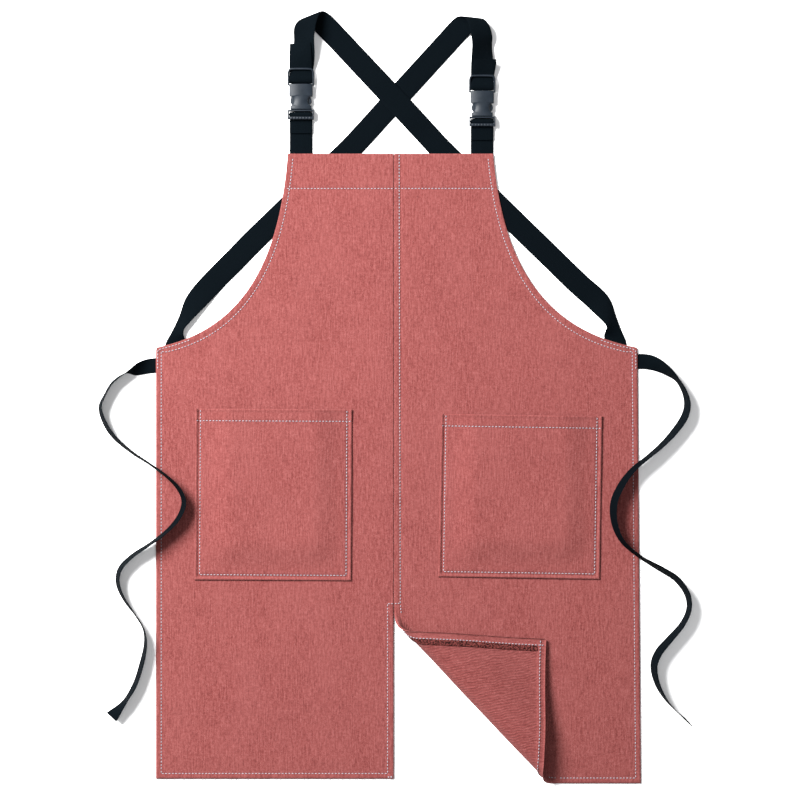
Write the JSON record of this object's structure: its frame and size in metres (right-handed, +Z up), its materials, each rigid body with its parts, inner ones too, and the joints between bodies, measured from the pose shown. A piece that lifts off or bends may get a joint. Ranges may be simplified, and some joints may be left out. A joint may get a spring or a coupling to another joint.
{
  "type": "cross-back work apron",
  "caption": "Canvas work apron laid flat, with crossed webbing shoulder straps, side-release buckles, patch pockets, waist ties and a split skirt with one leg folded back.",
  "frame": {"origin": "on the surface below the middle of the apron laid flat, its ties left out", "axes": "+Y towards the bib and the shoulder straps, +X to the right seen from the front, +Z up out of the apron's front"},
  "size_m": [0.7813, 1.0184, 0.0303],
  "materials": {
    "cloth": "dusty brick-red cotton canvas, matt twill",
    "webbing": "near-black woven webbing, matt",
    "buckle_plastic": "dark grey moulded acetal, satin",
    "thread": "pale topstitching thread",
    "overlock_thread": "dark maroon overlock thread"
  },
  "bodies": {
    "apron": {"left_panel": "cloth", "right_panel": "cloth", "left_pocket": "cloth", "right_pocket": "cloth", "left_pocket_stitching": "thread", "left_pocket_hem_stitching": "thread", "right_pocket_stitching": "thread", "right_pocket_hem_stitching": "thread", "bib_top_stitching": "thread", "centre_seam_stitching": "thread", "skirt_seam_stitching": "thread", "split_bar_stitching": "thread", "left_armhole_stitching": "thread", "left_side_stitching": "thread", "right_armhole_stitching": "thread", "right_side_stitching": "thread", "left_split_stitching": "thread", "left_buckle_plug": "buckle_plastic", "right_buckle_plug": "buckle_plastic", "left_short_strap": "webbing", "right_short_strap": "webbing", "left_shoulder_strap": "webbing", "right_shoulder_strap": "webbing", "left_waist_tie": "webbing", "right_waist_tie": "webbing"},
    "folded_leg": {"right_leg_flap": "cloth", "flap_stitching": "thread", "flap_overlock": "overlock_thread"},
    "left_socket": {"left_buckle_socket": "buckle_plastic", "left_riser_strap": "webbing"},
    "right_socket": {"right_buckle_socket": "buckle_plastic", "right_riser_strap": "webbing"},
    "left_outer_arm": {"left_buckle_outer_arm": "buckle_plastic"},
    "left_inner_arm": {"left_buckle_inner_arm": "buckle_plastic"},
    "right_outer_arm": {"right_buckle_outer_arm": "buckle_plastic"},
    "right_inner_arm": {"right_buckle_inner_arm": "buckle_plastic"}
  },
  "joints": [
    {"name": "leg_fold", "type": "hinge", "parent": "apron", "child": "folded_leg", "pos_m": [0.09388, -0.41259, 0.01769], "axis": [0.6909, -0.723, 0], "range_deg": [0, 190]},
    {"name": "left_buckle_release", "type": "slide", "parent": "apron", "child": "left_socket", "axis": [0, 1, 0], "range_m": [0, 0.03]},
    {"name": "left_outer_arm_squeeze", "type": "hinge", "parent": "apron", "child": "left_outer_arm", "pos_m": [-0.1365, 0.379, 0.0062], "axis": [0, 0, -1], "range_deg": [0, 6.5], "stiffness_Nm_per_rad": 0.05},
    {"name": "left_inner_arm_squeeze", "type": "hinge", "parent": "apron", "child": "left_inner_arm", "pos_m": [-0.1205, 0.379, 0.0062], "axis": [0, 0, 1], "range_deg": [0, 6.5], "stiffness_Nm_per_rad": 0.05},
    {"name": "right_buckle_release", "type": "slide", "parent": "apron", "child": "right_socket", "axis": [0, 1, 0], "range_m": [0, 0.03]},
    {"name": "right_outer_arm_squeeze", "type": "hinge", "parent": "apron", "child": "right_outer_arm", "pos_m": [0.1183, 0.37, 0.0062], "axis": [0, 0, 1], "range_deg": [0, 6.5], "stiffness_Nm_per_rad": 0.05},
    {"name": "right_inner_arm_squeeze", "type": "hinge", "parent": "apron", "child": "right_inner_arm", "pos_m": [0.1023, 0.37, 0.0062], "axis": [0, 0, -1], "range_deg": [0, 6.5], "stiffness_Nm_per_rad": 0.05}
  ],
  "couplings": [
    {"joint": "left_inner_arm_squeeze", "follows": "left_outer_arm_squeeze", "ratio": 1},
    {"joint": "right_inner_arm_squeeze", "follows": "right_outer_arm_squeeze", "ratio": 1}
  ]
}
